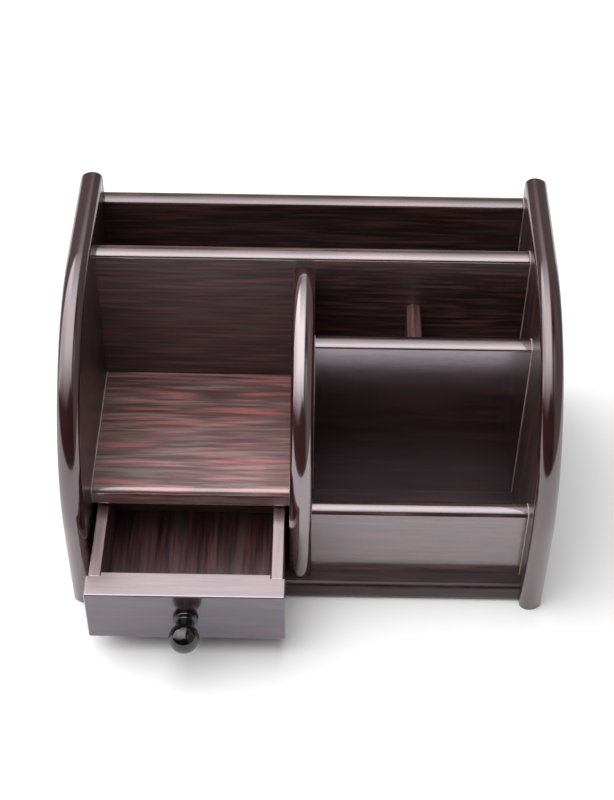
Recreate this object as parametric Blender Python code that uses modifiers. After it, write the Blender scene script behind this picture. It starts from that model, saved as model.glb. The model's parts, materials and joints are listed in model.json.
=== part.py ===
"""A wooden desk stand for pens, letters and cards, with one small drawer.

Two side panels, each with one large rounded corner, carry a base board, a drawer shelf and
upright panels between them. A middle divider parts the drawer bay on the left from the pen cells
and the card tray on the right. The drawer slides on the base board, and is shown part way open.

Metres, +Z up, +X to the right seen from the front, +Y to the back. The origin is the middle of
the carcass's footprint, on the surface that the stand rests on.
"""

from math import asin, cos, pi, radians, sin

import bmesh
import bpy
from mathutils import Matrix, Vector

# Clearances
GAP = 0.0003
OVERRUN = 0.002
MERGE = 0.00001

# Widths, left to right
SIDE_THICKNESS = 0.0115
DRAWER_BAY = 0.103
DIVIDER_THICKNESS = 0.0115
TRAY_BAY = 0.111
PEN_CELL = 0.0485
PEN_DIVIDER_THICKNESS = 0.0075

# Depths, back to front
PANEL_THICKNESS = 0.0095
LETTER_SLOT = 0.0345
PEN_SLOT = 0.0315
CARD_SLOT = 0.0485
CARD_SETBACK = 0.0085
SHELF_SETBACK = 0.0207
DIVIDER_SETBACK = 0.0035
SIDE_OVERHANG = 0.0055

# Heights above the resting surface
SIDE_HEIGHT = 0.158
BACK_HEIGHT = 0.146
LETTER_HEIGHT = 0.1465
DIVIDER_HEIGHT = 0.140
PEN_FRONT_HEIGHT = 0.123
PEN_DIVIDER_HEIGHT = 0.115
CARD_HEIGHT = 0.062
BOARD_THICKNESS = 0.012
DRAWER_OPENING = 0.037

# Rounded corners and crowned edges
SIDE_RADIUS = 0.102
DIVIDER_RADIUS = 0.093
SIDE_CROWN = 0.0033
PANEL_CROWN = 0.0023
CARD_CROWN = 0.003
PEN_DIVIDER_CROWN = 0.0025
BOARD_ROUNDING = 0.0032

# Drawer
DRAWER_OPEN = 0.0572
DRAWER_BACK_CLEARANCE = 0.001
DRAWER_SIDE_CLEARANCE = 0.001
DRAWER_TOP_CLEARANCE = 0.001
FRONT_LIFT = 0.001
FRONT_THICKNESS = 0.012
FRONT_OVERHANG = 0.0015
FRONT_ROUNDING = 0.001
WALL_THICKNESS = 0.006
INNER_FRONT_THICKNESS = 0.0025
BOTTOM_THICKNESS = 0.003
BOTTOM_RISE = 0.0025
GROOVE_DEPTH = 0.002

# Knob, its brass insert and its screw
BALL_RADIUS = 0.00775
BALL_STANDOFF = 0.01225
NECK_RADIUS = 0.005
FLANGE_RADIUS = 0.0064
FLANGE_THICKNESS = 0.0022
FLANGE_ROUNDING = 0.0006
KNOB_BORE_RADIUS = 0.0033
KNOB_BORE_DEPTH = 0.009
INSERT_LENGTH = 0.008
SCREW_RADIUS = 0.002
SCREW_LENGTH = 0.022
SCREW_HEAD_RADIUS = 0.004
SCREW_HEAD_HEIGHT = 0.0024
SCREW_CHAMFER = 0.0004
SCREW_SLOT_WIDTH = 0.001
SCREW_SLOT_DEPTH = 0.001

# Dowels
DOWEL_RADIUS = 0.0025
DOWEL_LENGTH = 0.020
DOWEL_IN_FACE = 0.0055
DOWEL_PLACE_SHARES = (0.22, 0.78)
FOOT_DOWEL_SHARES = (0.35, 0.85)

# Steps of round shapes
CROWN_STEPS = 8
CORNER_STEPS = 28
ROUNDING_STEPS = 4
TURN_STEPS = 28
BALL_STEPS = 12
DOWEL_SIDES = 12
SHARP_ANGLE = radians(35)

# Colour, roughness and metallic value of each finish
ROSEWOOD = ((0.050, 0.019, 0.020), 0.16, 0.0)
DRAWER_WOOD = ((0.090, 0.034, 0.034), 0.20, 0.0)
BLACK_LACQUER = ((0.008, 0.006, 0.007), 0.08, 0.0)
STEEL = ((0.56, 0.56, 0.58), 0.30, 1.0)
BRASS = ((0.78, 0.57, 0.24), 0.28, 1.0)
BEECH = ((0.62, 0.44, 0.27), 0.60, 0.0)

# Places worked out from the sizes above
LEFT_X = -(2 * SIDE_THICKNESS + DRAWER_BAY + DIVIDER_THICKNESS + TRAY_BAY) / 2
BAY_LEFT_X = LEFT_X + SIDE_THICKNESS
DIVIDER_LEFT_X = BAY_LEFT_X + DRAWER_BAY
DIVIDER_RIGHT_X = DIVIDER_LEFT_X + DIVIDER_THICKNESS
TRAY_RIGHT_X = DIVIDER_RIGHT_X + TRAY_BAY
BAY_MIDDLE_X = (BAY_LEFT_X + DIVIDER_LEFT_X) / 2
DIVIDER_MIDDLE_X = (DIVIDER_LEFT_X + DIVIDER_RIGHT_X) / 2

BASE_DEPTH = 4 * PANEL_THICKNESS + LETTER_SLOT + PEN_SLOT + CARD_SLOT + CARD_SETBACK
SIDE_DEPTH = BASE_DEPTH + SIDE_OVERHANG
BACK_Y = SIDE_DEPTH / 2
BACK_PANEL_Y = BACK_Y - PANEL_THICKNESS
LETTER_PANEL_Y = BACK_PANEL_Y - LETTER_SLOT - PANEL_THICKNESS
PEN_PANEL_Y = LETTER_PANEL_Y - PEN_SLOT - PANEL_THICKNESS
CARD_PANEL_Y = PEN_PANEL_Y - CARD_SLOT - PANEL_THICKNESS
SIDE_FRONT_Y = BACK_Y - SIDE_DEPTH
BASE_FRONT_Y = SIDE_FRONT_Y + SIDE_OVERHANG
SHELF_FRONT_Y = BASE_FRONT_Y + SHELF_SETBACK
DIVIDER_FRONT_Y = BASE_FRONT_Y + DIVIDER_SETBACK
SHELF_DEPTH = LETTER_PANEL_Y - GAP - SHELF_FRONT_Y
DIVIDER_DEPTH = LETTER_PANEL_Y - GAP - DIVIDER_FRONT_Y

STANDING_Z = BOARD_THICKNESS + GAP
SHELF_Z = BOARD_THICKNESS + DRAWER_OPENING

DRAWER_DEPTH = LETTER_PANEL_Y - SHELF_FRONT_Y - DRAWER_BACK_CLEARANCE
FRONT_WIDTH = DRAWER_BAY - 2 * DRAWER_SIDE_CLEARANCE
BOX_WIDTH = FRONT_WIDTH - 2 * FRONT_OVERHANG
BOX_INNER_WIDTH = BOX_WIDTH - 2 * WALL_THICKNESS
FRONT_Y = SHELF_FRONT_Y - DRAWER_OPEN
BOX_FRONT_Y = FRONT_Y + FRONT_THICKNESS + GAP
BOX_BACK_Y = FRONT_Y + DRAWER_DEPTH
DRAWER_TOP_Z = SHELF_Z - DRAWER_TOP_CLEARANCE
FRONT_BOTTOM_Z = BOARD_THICKNESS + FRONT_LIFT
BOTTOM_Z = STANDING_Z + BOTTOM_RISE
CROSSBOARD_Z = BOTTOM_Z + BOTTOM_THICKNESS + GAP
KNOB_Z = (FRONT_BOTTOM_Z + DRAWER_TOP_Z) / 2
INNER_FRONT_BACK_Y = BOX_FRONT_Y + INNER_FRONT_THICKNESS

# Directions, and the turns that lay a flat outline or a turned profile into place
UP = Vector((0, 0, 1))
SIDEWAYS = Vector((1, 0, 0))
FRONT_TO_BACK = Vector((0, 1, 0))
OUTLINE_ACROSS_X = (pi / 2, 0, pi / 2)
OUTLINE_ACROSS_Y = (pi / 2, 0, 0)
POINTING_FORWARD = (pi / 2, 0, 0)


def clear_scene():
    for obj in list(bpy.data.objects):
        bpy.data.objects.remove(obj, do_unlink=True)


def new_collection(name):
    group = bpy.data.collections.new(name)
    bpy.context.scene.collection.children.link(group)
    return group


def place(obj, location, carrier=None):
    """Puts an object at a place in the stand's frame, carried by an empty if one is given."""
    obj.parent = carrier
    obj.location = Vector(location) - (carrier.location if carrier else Vector())


def finish(mesh, look):
    """Gives a mesh a material of its own, from a colour, a roughness and a metallic value."""
    colour, roughness, metallic = look
    material = bpy.data.materials.new(mesh.name)
    material.use_nodes = True
    shader = material.node_tree.nodes["Principled BSDF"]
    shader.inputs["Base Color"].default_value = (*colour, 1)
    shader.inputs["Roughness"].default_value = roughness
    shader.inputs["Metallic"].default_value = metallic
    mesh.materials.append(material)


def add_part(name, mesh, location, look=None, carrier=None, turn=(0, 0, 0)):
    """Adds a mesh as one named piece of the stand, with a look unless the mesh has its own."""
    obj = bpy.data.objects.new(name, mesh)
    obj.rotation_euler = turn
    parts.objects.link(obj)
    place(obj, location, carrier)
    if look:
        finish(mesh, look)
    return obj


def add_cutter(name, mesh, location, carrier=None):
    """Adds a mesh that only takes material away from the pieces."""
    obj = bpy.data.objects.new(name, mesh)
    obj.hide_render = True
    obj.display_type = "WIRE"
    cutters.objects.link(obj)
    place(obj, location, carrier)
    return obj


def cut(obj, cutter):
    hole = obj.modifiers.new(cutter.name, "BOOLEAN")
    hole.operation = "DIFFERENCE"
    hole.solver = "EXACT"
    hole.object = cutter


def mesh_from(bm, name):
    mesh = bpy.data.meshes.new(name)
    bmesh.ops.recalc_face_normals(bm, faces=bm.faces)
    bm.to_mesh(mesh)
    bm.free()
    return mesh


def box_mesh(name, size):
    """A box of the given size, centred on its own origin."""
    bm = bmesh.new()
    bmesh.ops.create_cube(bm, size=1)
    bmesh.ops.scale(bm, vec=size, verts=bm.verts)
    return mesh_from(bm, name)


def extruded_mesh(name, outline, length):
    """A flat outline, extruded by half the length to each side of its plane."""
    curve = bpy.data.curves.new(name, "CURVE")
    curve.dimensions = "2D"
    curve.fill_mode = "BOTH"
    curve.extrude = length / 2
    spline = curve.splines.new("POLY")
    spline.points.add(len(outline) - 1)
    for point, (across, up) in zip(spline.points, outline):
        point.co = (across, up, 0, 1)
    spline.use_cyclic_u = True
    guide = bpy.data.objects.new(name, curve)
    cutters.objects.link(guide)
    graph = bpy.context.evaluated_depsgraph_get()
    mesh = bpy.data.meshes.new_from_object(guide.evaluated_get(graph))
    bpy.data.objects.remove(guide)
    bm = bmesh.new()
    bm.from_mesh(mesh)
    bpy.data.meshes.remove(mesh)
    bmesh.ops.remove_doubles(bm, verts=bm.verts, dist=MERGE)
    return mesh_from(bm, name)


def turned_mesh(name, profile, location, look, carrier, closed=False):
    """A piece turned round its own Z axis from (radius, height) points, top to bottom outside."""
    bm = bmesh.new()
    points = [bm.verts.new((radius, 0, height)) for radius, height in profile]
    pairs = zip(points, points[1:] + points[:1]) if closed else zip(points, points[1:])
    for start, end in pairs:
        bm.edges.new((start, end))
    mesh = bpy.data.meshes.new(name)
    bm.to_mesh(mesh)
    bm.free()
    obj = add_part(name, mesh, location, look, carrier, POINTING_FORWARD)
    turn = obj.modifiers.new("turn", "SCREW")
    turn.axis = "Z"
    turn.angle = 2 * pi
    turn.steps = TURN_STEPS
    turn.render_steps = TURN_STEPS
    turn.use_merge_vertices = True
    turn.merge_threshold = MERGE
    return obj


def arc(centre, radius, start, end, steps):
    """Points on an arc, from one angle to another, both ends included."""
    angles = [start + (end - start) * step / steps for step in range(steps + 1)]
    return [(centre[0] + radius * cos(angle), centre[1] + radius * sin(angle)) for angle in angles]


def crown(thickness, depth):
    """(across, drop) points of the shallow arc over an edge, from its low to its high face."""
    half = thickness / 2
    radius = (half**2 + depth**2) / (2 * depth)
    reach = asin(half / radius)
    angles = [reach * (2 * step / CROWN_STEPS - 1) for step in range(CROWN_STEPS + 1)]
    return [(radius * sin(angle), radius * (1 - cos(angle))) for angle in angles]


def crowned_outline(thickness, height, depth):
    """An upright board's section, from its foot to its crowned top."""
    top = [(across + thickness / 2, height - drop) for across, drop in crown(thickness, depth)]
    return [(0, 0), (thickness, 0)] + top[::-1]


def rounded_outline(depth, thickness, rounding):
    """A lying board's section, with its two front edges rounded."""
    lower = arc((rounding, rounding), rounding, -pi / 2, -pi, ROUNDING_STEPS)
    upper = arc((rounding, thickness - rounding), rounding, pi, pi / 2, ROUNDING_STEPS)
    return lower + upper + [(depth, thickness), (depth, 0)]


def curved_board_mesh(name, thickness, depth, height, radius, crown_depth):
    """An upright board with one large rounded corner, and a crown along its front and its top.

    Each section across the thickness is the outline drawn in by the crown's drop there, and the
    foot and the back stay flat.
    """
    bm = bmesh.new()
    rings = []
    for across, drop in crown(thickness, crown_depth):
        corner = arc((radius, height - radius), radius - drop, pi, pi / 2, CORNER_STEPS)
        outline = [(depth, 0), (drop, 0), *corner, (depth, height - drop)]
        rings.append([bm.verts.new((across, y, z)) for y, z in outline])
    for ring, beside in zip(rings, rings[1:]):
        for index in range(len(ring)):
            after = (index + 1) % len(ring)
            bm.faces.new((ring[index], ring[after], beside[after], beside[index]))
    bm.faces.new(rings[0])
    bm.faces.new(rings[-1])
    return mesh_from(bm, name)


def peg_mesh(name, places, radius, length):
    """Round pegs of one size as one mesh, each at its middle and along its direction."""
    bm = bmesh.new()
    for middle, direction in places:
        bmesh.ops.create_cone(
            bm,
            cap_ends=True,
            segments=DOWEL_SIDES,
            radius1=radius,
            radius2=radius,
            depth=length,
            matrix=Matrix.Translation(middle) @ upward_onto(direction).to_matrix().to_4x4(),
        )
    return mesh_from(bm, name)


def upward_onto(direction):
    """The turn that lays a piece made along +Z along another direction."""
    return UP.rotation_difference(direction)


def shade_round(obj):
    """Shades the round stretches smooth and keeps the arrises sharp."""
    obj.data.shade_smooth()
    obj.data.set_sharp_from_angle(angle=SHARP_ANGLE)


def side_panel(name, left_x):
    """One end panel, from the resting surface to the highest edge of the stand."""
    mesh = curved_board_mesh(
        name, SIDE_THICKNESS, SIDE_DEPTH, SIDE_HEIGHT, SIDE_RADIUS, SIDE_CROWN
    )
    middle = left_x + SIDE_THICKNESS / 2
    panel = add_part(name, mesh, (middle, SIDE_FRONT_Y, 0), ROSEWOOD)
    shade_round(panel)
    return panel


def middle_divider():
    """The lower board between the drawer bay and the tray bay, standing on the base."""
    height = DIVIDER_HEIGHT - STANDING_Z
    mesh = curved_board_mesh(
        "middle_divider", DIVIDER_THICKNESS, DIVIDER_DEPTH, height, DIVIDER_RADIUS, SIDE_CROWN
    )
    where = (DIVIDER_MIDDLE_X, DIVIDER_FRONT_Y, STANDING_Z)
    divider = add_part("middle_divider", mesh, where, ROSEWOOD)
    shade_round(divider)
    return divider


def lying_board(name, left_x, right_x, front_y, depth, bottom_z):
    """A board that lies flat between two uprights."""
    outline = rounded_outline(depth, BOARD_THICKNESS, BOARD_ROUNDING)
    mesh = extruded_mesh(name, outline, right_x - left_x - 2 * GAP)
    board = add_part(
        name, mesh, ((left_x + right_x) / 2, front_y, bottom_z), ROSEWOOD, turn=OUTLINE_ACROSS_X
    )
    shade_round(board)
    return board


def upright_panel(name, left_x, right_x, front_y, top_z, crown_depth=PANEL_CROWN):
    """A straight panel that stands on the base between two uprights, with a crowned top."""
    outline = crowned_outline(PANEL_THICKNESS, top_z - STANDING_Z, crown_depth)
    mesh = extruded_mesh(name, outline, right_x - left_x - 2 * GAP)
    middle = (left_x + right_x) / 2
    panel = add_part(name, mesh, (middle, front_y, STANDING_Z), ROSEWOOD, turn=OUTLINE_ACROSS_X)
    shade_round(panel)
    return panel


def pen_divider():
    """The thin board that parts the two pen cells."""
    height = PEN_DIVIDER_HEIGHT - STANDING_Z
    outline = crowned_outline(PEN_DIVIDER_THICKNESS, height, PEN_DIVIDER_CROWN)
    mesh = extruded_mesh("pen_divider", outline, PEN_SLOT - 2 * GAP)
    where = (DIVIDER_RIGHT_X + PEN_CELL, LETTER_PANEL_Y - PEN_SLOT / 2, STANDING_Z)
    shade_round(add_part("pen_divider", mesh, where, ROSEWOOD, turn=OUTLINE_ACROSS_Y))


def spread(low, high, shares):
    return [low + (high - low) * share for share in shares]


def dowel_shift(direction):
    """How far a dowel's middle lies from the joint, on the side that it reaches into most."""
    return direction * (DOWEL_LENGTH / 2 - DOWEL_IN_FACE)


def lying_dowels(joint_x, direction, front_y, depth, bottom_z):
    """The places of the two dowels in one end of a lying board."""
    x = joint_x + dowel_shift(direction)
    z = bottom_z + BOARD_THICKNESS / 2
    places = spread(front_y, front_y + depth, DOWEL_PLACE_SHARES)
    return [(Vector((x, y, z)), SIDEWAYS) for y in places]


def upright_dowels(joint_x, direction, front_y, top_z):
    """The places of the two dowels in one end of a straight panel."""
    x = joint_x + dowel_shift(direction)
    y = front_y + PANEL_THICKNESS / 2
    heights = spread(STANDING_Z, top_z - PANEL_CROWN, DOWEL_PLACE_SHARES)
    return [(Vector((x, y, z)), SIDEWAYS) for z in heights]


def foot_dowels():
    """The places of the two dowels that stand in the base and hold the divider's foot."""
    places = spread(DIVIDER_FRONT_Y, DIVIDER_FRONT_Y + DIVIDER_DEPTH, FOOT_DOWEL_SHARES)
    z = BOARD_THICKNESS + dowel_shift(1)
    return [(Vector((DIVIDER_MIDDLE_X, y, z)), UP) for y in places]


def dowels(upright, joints):
    """The dowels along one upright, by the board that they join, and the cutter for their holes."""
    mesh = peg_mesh("dowel", [(Vector(), UP)], DOWEL_RADIUS, DOWEL_LENGTH)
    finish(mesh, BEECH)
    for board, places in joints.items():
        for number, (middle, direction) in enumerate(places, start=1):
            dowel = add_part(f"{upright}_{board}_dowel_{number}", mesh, middle)
            dowel.rotation_euler = upward_onto(direction).to_euler()
            shade_round(dowel)
    everywhere = [place for places in joints.values() for place in places]
    radius = DOWEL_RADIUS + GAP
    holes = peg_mesh(upright + "_holes", everywhere, radius, DOWEL_LENGTH + 2 * GAP)
    return add_cutter(upright + "_holes", holes, (0, 0, 0))


def carcass():
    """The fixed boards and the dowels that join them."""
    left = side_panel("left_side_panel", LEFT_X)
    right = side_panel("right_side_panel", TRAY_RIGHT_X)
    divider = middle_divider()
    base = lying_board("base_board", BAY_LEFT_X, TRAY_RIGHT_X, BASE_FRONT_Y, BASE_DEPTH, 0)
    shelf = lying_board(
        "drawer_shelf", BAY_LEFT_X, DIVIDER_LEFT_X, SHELF_FRONT_Y, SHELF_DEPTH, SHELF_Z
    )
    back = upright_panel("back_panel", BAY_LEFT_X, TRAY_RIGHT_X, BACK_PANEL_Y, BACK_HEIGHT)
    letter = upright_panel(
        "letter_panel", BAY_LEFT_X, TRAY_RIGHT_X, LETTER_PANEL_Y, LETTER_HEIGHT
    )
    pen = upright_panel(
        "pen_front_panel", DIVIDER_RIGHT_X, TRAY_RIGHT_X, PEN_PANEL_Y, PEN_FRONT_HEIGHT
    )
    card = upright_panel(
        "card_front_panel", DIVIDER_RIGHT_X, TRAY_RIGHT_X, CARD_PANEL_Y, CARD_HEIGHT, CARD_CROWN
    )
    pen_divider()

    left_joints = {
        "base": lying_dowels(BAY_LEFT_X, 1, BASE_FRONT_Y, BASE_DEPTH, 0),
        "shelf": lying_dowels(BAY_LEFT_X, 1, SHELF_FRONT_Y, SHELF_DEPTH, SHELF_Z),
        "back": upright_dowels(BAY_LEFT_X, 1, BACK_PANEL_Y, BACK_HEIGHT),
        "letter": upright_dowels(BAY_LEFT_X, 1, LETTER_PANEL_Y, LETTER_HEIGHT),
    }
    right_joints = {
        "base": lying_dowels(TRAY_RIGHT_X, -1, BASE_FRONT_Y, BASE_DEPTH, 0),
        "back": upright_dowels(TRAY_RIGHT_X, -1, BACK_PANEL_Y, BACK_HEIGHT),
        "letter": upright_dowels(TRAY_RIGHT_X, -1, LETTER_PANEL_Y, LETTER_HEIGHT),
        "pen": upright_dowels(TRAY_RIGHT_X, -1, PEN_PANEL_Y, PEN_FRONT_HEIGHT),
        "card": upright_dowels(TRAY_RIGHT_X, -1, CARD_PANEL_Y, CARD_HEIGHT),
    }
    divider_joints = {
        "shelf": lying_dowels(DIVIDER_LEFT_X, -1, SHELF_FRONT_Y, SHELF_DEPTH, SHELF_Z),
        "pen": upright_dowels(DIVIDER_RIGHT_X, 1, PEN_PANEL_Y, PEN_FRONT_HEIGHT),
        "card": upright_dowels(DIVIDER_RIGHT_X, 1, CARD_PANEL_Y, CARD_HEIGHT),
        "foot": foot_dowels(),
    }
    left_holes = dowels("left", left_joints)
    right_holes = dowels("right", right_joints)
    divider_holes = dowels("divider", divider_joints)
    for board in (left, base, shelf, back, letter):
        cut(board, left_holes)
    for board in (right, base, back, letter, pen, card):
        cut(board, right_holes)
    for board in (divider, base, shelf, pen, card):
        cut(board, divider_holes)


def drawer_front(slide, hole):
    """The thick front board, a little wider than the drawer box behind it."""
    size = (FRONT_WIDTH, FRONT_THICKNESS, DRAWER_TOP_Z - FRONT_BOTTOM_Z)
    where = (BAY_MIDDLE_X, FRONT_Y + FRONT_THICKNESS / 2, KNOB_Z)
    front = add_part("drawer_front", box_mesh("drawer_front", size), where, ROSEWOOD, slide)
    edges = front.modifiers.new("edges", "BEVEL")
    edges.width = FRONT_ROUNDING
    edges.segments = ROUNDING_STEPS
    cut(front, hole)


def drawer_wall(name, side, slide):
    """One side wall, with the groove that holds the drawer's bottom; side is -1 or 1."""
    height = DRAWER_TOP_Z - STANDING_Z
    low = BOTTOM_RISE - GAP
    high = BOTTOM_RISE + BOTTOM_THICKNESS + GAP
    groove_x = WALL_THICKNESS - GROOVE_DEPTH
    outline = [
        (0, 0),
        (WALL_THICKNESS, 0),
        (WALL_THICKNESS, low),
        (groove_x, low),
        (groove_x, high),
        (WALL_THICKNESS, high),
        (WALL_THICKNESS, height),
        (0, height),
    ]
    outline = [(-side * (across - WALL_THICKNESS), up) for across, up in outline]
    mesh = extruded_mesh(name, outline, BOX_BACK_Y - BOX_FRONT_Y)
    where = (
        BAY_MIDDLE_X + side * BOX_INNER_WIDTH / 2,
        (BOX_FRONT_Y + BOX_BACK_Y) / 2,
        STANDING_Z,
    )
    add_part(name, mesh, where, DRAWER_WOOD, slide, OUTLINE_ACROSS_Y)


def drawer_crossboard(name, front_y, thickness, slide):
    """A board between the side walls, standing on the drawer's bottom."""
    size = (BOX_INNER_WIDTH - 2 * GAP, thickness, DRAWER_TOP_Z - CROSSBOARD_Z)
    where = (BAY_MIDDLE_X, front_y + thickness / 2, (CROSSBOARD_Z + DRAWER_TOP_Z) / 2)
    return add_part(name, box_mesh(name, size), where, DRAWER_WOOD, slide)


def drawer_bottom(slide):
    """The thin bottom, which slides into the walls' grooves under the inner front and the back."""
    width = BOX_INNER_WIDTH + 2 * (GROOVE_DEPTH - GAP)
    size = (width, BOX_BACK_Y - BOX_FRONT_Y, BOTTOM_THICKNESS)
    where = (BAY_MIDDLE_X, (BOX_FRONT_Y + BOX_BACK_Y) / 2, BOTTOM_Z + BOTTOM_THICKNESS / 2)
    add_part("drawer_bottom", box_mesh("drawer_bottom", size), where, DRAWER_WOOD, slide)


def screw_hole(slide):
    """The hole for the knob's screw, through the front board and the inner front."""
    length = INNER_FRONT_BACK_Y - FRONT_Y + 2 * OVERRUN
    radius = SCREW_RADIUS + GAP
    mesh = peg_mesh("screw_hole", [(Vector(), FRONT_TO_BACK)], radius, length)
    where = (BAY_MIDDLE_X, (INNER_FRONT_BACK_Y + FRONT_Y) / 2, KNOB_Z)
    return add_cutter("screw_hole", mesh, where, slide)


def knob(slide):
    """The turned ball knob: ball, neck, flange, and a blind bore from the flange's face."""
    ball = (0, BALL_STANDOFF)
    neck_angle = -asin((BALL_RADIUS**2 - NECK_RADIUS**2) ** 0.5 / BALL_RADIUS)
    round_middle = (FLANGE_RADIUS - FLANGE_ROUNDING, FLANGE_THICKNESS - FLANGE_ROUNDING)
    profile = [
        *arc(ball, BALL_RADIUS, pi / 2, neck_angle, BALL_STEPS),
        (NECK_RADIUS, FLANGE_THICKNESS),
        *arc(round_middle, FLANGE_ROUNDING, pi / 2, 0, ROUNDING_STEPS),
        (FLANGE_RADIUS, 0),
        (KNOB_BORE_RADIUS, 0),
        (KNOB_BORE_RADIUS, KNOB_BORE_DEPTH),
        (0, KNOB_BORE_DEPTH),
    ]
    profile[0] = (0, BALL_STANDOFF + BALL_RADIUS)
    where = (BAY_MIDDLE_X, FRONT_Y - GAP, KNOB_Z)
    turned_mesh("knob", profile, where, BLACK_LACQUER, slide)


def knob_insert(slide):
    """The brass bush in the knob's bore, which takes the screw."""
    outer = KNOB_BORE_RADIUS - GAP
    inner = SCREW_RADIUS + GAP
    profile = [(outer, INSERT_LENGTH), (outer, 0), (inner, 0), (inner, INSERT_LENGTH)]
    where = (BAY_MIDDLE_X, FRONT_Y - 2 * GAP, KNOB_Z)
    turned_mesh("knob_insert", profile, where, BRASS, slide, closed=True)


def knob_screw(slide):
    """The slotted pan-head screw, driven from inside the drawer."""
    profile = [
        (0, SCREW_LENGTH),
        (SCREW_RADIUS - SCREW_CHAMFER, SCREW_LENGTH),
        (SCREW_RADIUS, SCREW_LENGTH - SCREW_CHAMFER),
        (SCREW_RADIUS, 0),
        (SCREW_HEAD_RADIUS, 0),
        (SCREW_HEAD_RADIUS, SCREW_CHAMFER - SCREW_HEAD_HEIGHT),
        (SCREW_HEAD_RADIUS - SCREW_CHAMFER, -SCREW_HEAD_HEIGHT),
        (0, -SCREW_HEAD_HEIGHT),
    ]
    head_y = INNER_FRONT_BACK_Y + GAP
    screw = turned_mesh(
        "knob_screw", profile, (BAY_MIDDLE_X, head_y, KNOB_Z), STEEL, slide
    )
    slot_length = 2 * (SCREW_HEAD_RADIUS + OVERRUN)
    size = (slot_length, SCREW_SLOT_DEPTH + OVERRUN, SCREW_SLOT_WIDTH)
    slot_y = head_y + SCREW_HEAD_HEIGHT + (OVERRUN - SCREW_SLOT_DEPTH) / 2
    where = (BAY_MIDDLE_X, slot_y, KNOB_Z)
    cut(screw, add_cutter("screw_slot", box_mesh("screw_slot", size), where, slide))


def drawer():
    """The drawer and its knob, carried by an empty on the line that the drawer slides along."""
    slide = bpy.data.objects.new("drawer_slide", None)
    parts.objects.link(slide)
    slide.location = (BAY_MIDDLE_X, FRONT_Y, KNOB_Z)
    hole = screw_hole(slide)
    drawer_front(slide, hole)
    drawer_wall("drawer_left_side", -1, slide)
    drawer_wall("drawer_right_side", 1, slide)
    drawer_bottom(slide)
    inner = drawer_crossboard("drawer_inner_front", BOX_FRONT_Y, INNER_FRONT_THICKNESS, slide)
    cut(inner, hole)
    drawer_crossboard("drawer_back", BOX_BACK_Y - WALL_THICKNESS, WALL_THICKNESS, slide)
    knob(slide)
    knob_insert(slide)
    knob_screw(slide)


clear_scene()
parts = new_collection("pen_stand")
cutters = new_collection("cutters")
carcass()
drawer()
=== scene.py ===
"""The pen stand's look: dark rosewood boards under gloss lacquer, a drawer with a black ball knob.

The boards are rebuilt with finer crowns and softened arrises, and stand for their CAD solids.
Metres, +Z up, +X to the right seen from the front, +Y to the back, as in the CAD.
"""

import json
from functools import partial
from itertools import count
from math import asin, cos, pi, radians, sin

import bmesh
import bpy
from mathutils import Matrix, Vector


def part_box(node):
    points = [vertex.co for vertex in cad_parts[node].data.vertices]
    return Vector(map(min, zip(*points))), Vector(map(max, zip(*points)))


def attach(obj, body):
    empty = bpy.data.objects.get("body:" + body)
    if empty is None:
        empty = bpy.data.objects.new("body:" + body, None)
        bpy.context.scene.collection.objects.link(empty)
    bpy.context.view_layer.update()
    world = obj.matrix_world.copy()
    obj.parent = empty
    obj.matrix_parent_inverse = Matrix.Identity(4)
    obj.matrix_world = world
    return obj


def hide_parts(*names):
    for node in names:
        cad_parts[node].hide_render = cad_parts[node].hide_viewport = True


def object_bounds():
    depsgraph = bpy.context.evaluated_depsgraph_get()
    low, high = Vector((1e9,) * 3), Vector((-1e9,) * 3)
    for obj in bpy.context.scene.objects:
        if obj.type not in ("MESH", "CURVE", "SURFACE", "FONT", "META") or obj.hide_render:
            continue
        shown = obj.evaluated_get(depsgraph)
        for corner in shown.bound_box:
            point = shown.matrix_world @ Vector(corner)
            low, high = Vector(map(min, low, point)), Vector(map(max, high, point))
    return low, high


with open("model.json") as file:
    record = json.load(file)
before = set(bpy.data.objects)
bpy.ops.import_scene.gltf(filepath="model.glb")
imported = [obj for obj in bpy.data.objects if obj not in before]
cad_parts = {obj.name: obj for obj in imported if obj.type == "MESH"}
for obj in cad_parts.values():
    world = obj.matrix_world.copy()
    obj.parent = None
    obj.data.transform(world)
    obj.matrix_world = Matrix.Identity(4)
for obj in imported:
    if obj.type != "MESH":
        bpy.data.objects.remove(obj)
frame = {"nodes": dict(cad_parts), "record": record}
cad_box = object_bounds()

# Boards: the crown's depth over an edge, as in the CAD, and the rounding of the arris beside it
SIDE_CROWN = 0.0033
PANEL_CROWN = 0.0023
CARD_CROWN = 0.003
PEN_DIVIDER_CROWN = 0.0025
CROWN_ARRIS = 0.0011
CROWN_LEAN = 0.0007
PANEL_FULLNESS = 2.35
SIDE_RADIUS = 0.102
DIVIDER_RADIUS = 0.093
BOARD_ROUNDING = 0.0032
FRONT_ROUNDING = 0.001
BOX_ROUNDING = 0.0005
END_ROUNDING = 0.0003

# Joints: a board runs on over the CAD's gap, and a thin pale line shows beside it
# That line's pale filler colour is partly painted highlight, for the light that fillets in the joints
# catch
JOINT_REACH = 0.00028
GLUED_REACH = 0.00001
FILLER_AND_HIGHLIGHT_WIDTH = 0.0002
DOWEL_HOLE_EXTRA = 0.0003

# Drawer: the groove for the bottom, measured from a wall's foot, and the hole for the knob's screw
GROOVE_DEPTH = 0.002
GROOVE_LOW = 0.0022
GROOVE_HIGH = 0.0058
SCREW_HOLE_RADIUS = 0.0023
SCREW_HOLE_OVERRUN = 0.006

# Knob, from the drawer's face outwards
FLANGE_RADIUS = 0.0064
FLANGE_THICKNESS = 0.0022
FLANGE_ROUNDING = 0.0009
NECK_RADIUS = 0.0047
COVE_RADIUS = 0.0011
BALL_RADIUS = 0.00775
BALL_STANDOFF = 0.01225
BORE_RADIUS = 0.0033
BORE_DEPTH = 0.009

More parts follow.
